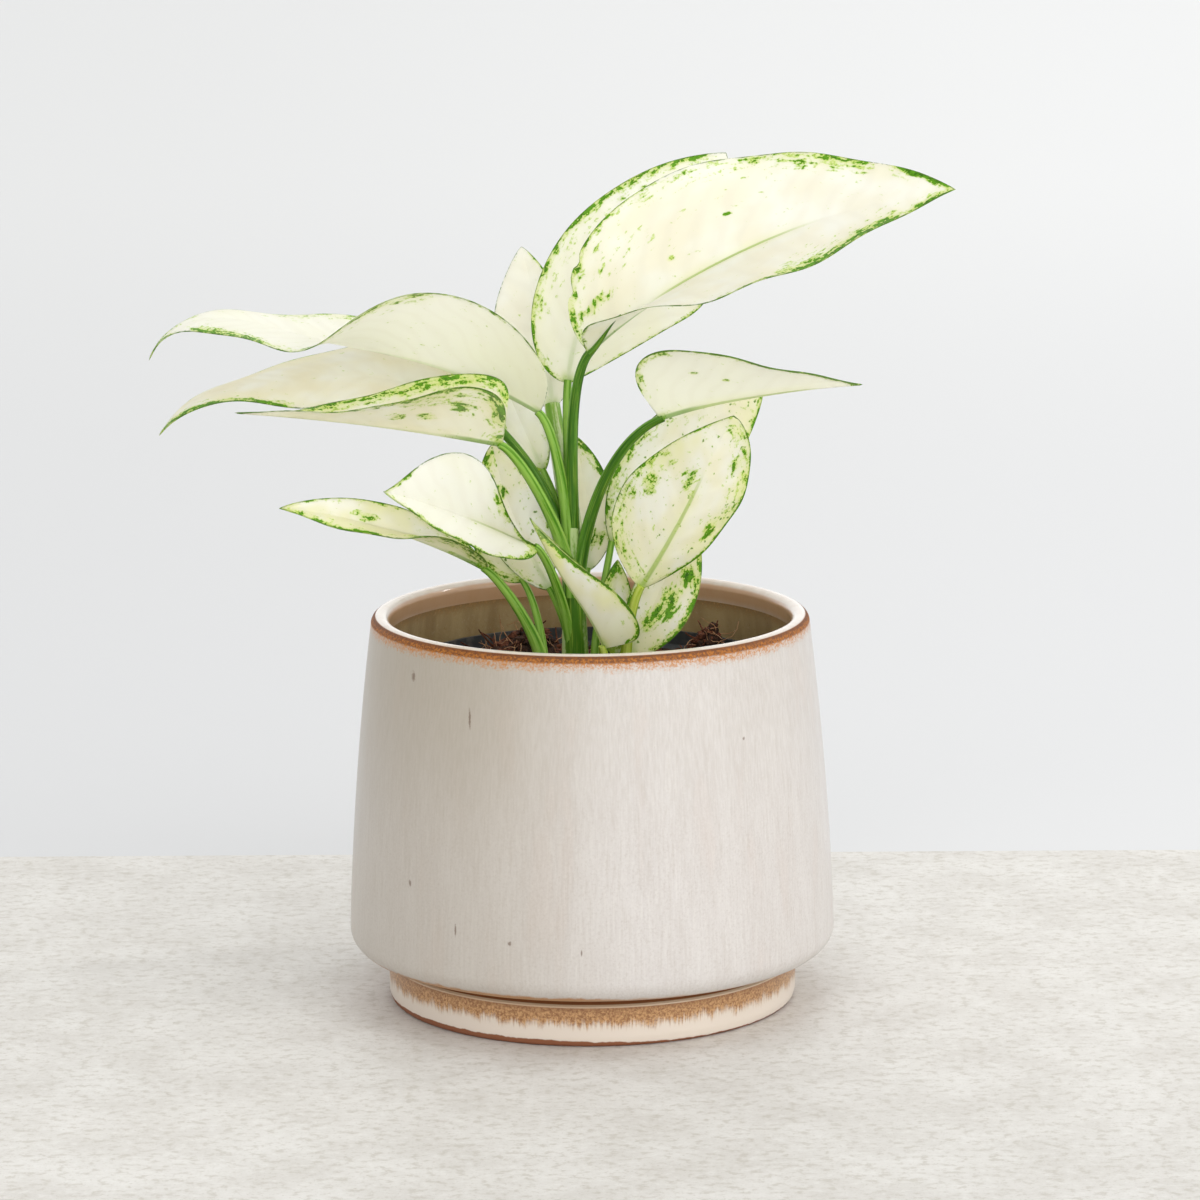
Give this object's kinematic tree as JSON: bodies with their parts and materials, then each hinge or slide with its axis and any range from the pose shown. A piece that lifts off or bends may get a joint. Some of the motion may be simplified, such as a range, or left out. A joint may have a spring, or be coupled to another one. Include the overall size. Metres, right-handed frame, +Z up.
{
  "type": "potted chinese evergreen",
  "caption": "Bushy house plant with broad cream leaves edged in green, growing in soil in a plastic pot that stands inside a rounded glazed stoneware pot.",
  "frame": {"origin": "middle of the stoneware pot's flat underside", "axes": "+Z up, +X to the right as seen from the show side, which faces -Y"},
  "size_m": [0.2607, 0.1608, 0.2804],
  "materials": {
    "glazed_stoneware": "glossy",
    "dark_plastic": "matt",
    "soil": "matt",
    "stalk": "satin",
    "leaf": "satin"
  },
  "bodies": {
    "root": {"stoneware_pot": "glazed_stoneware", "growers_pot": "dark_plastic", "soil": "soil", "shoot_main": "stalk", "shoot_left": "stalk", "shoot_right": "stalk", "shoot_inner": "stalk", "shoot_young_front": "stalk", "shoot_young_back": "stalk", "leaf_top": "leaf", "leaf_top_back": "leaf", "leaf_spear": "leaf", "leaf_upper_left": "leaf", "leaf_left_front": "leaf", "leaf_left_back": "leaf", "leaf_low_left": "leaf", "leaf_front_left": "leaf", "leaf_inner_left": "leaf", "leaf_upper_right": "leaf", "leaf_right_back": "leaf", "leaf_front_right": "leaf", "leaf_low_right": "leaf", "leaf_young_front": "leaf", "leaf_young_back": "leaf", "leaf_small_left": "leaf", "leaf_inner_right": "leaf", "leaf_inner_upper": "leaf"}
  },
  "joints": []
}
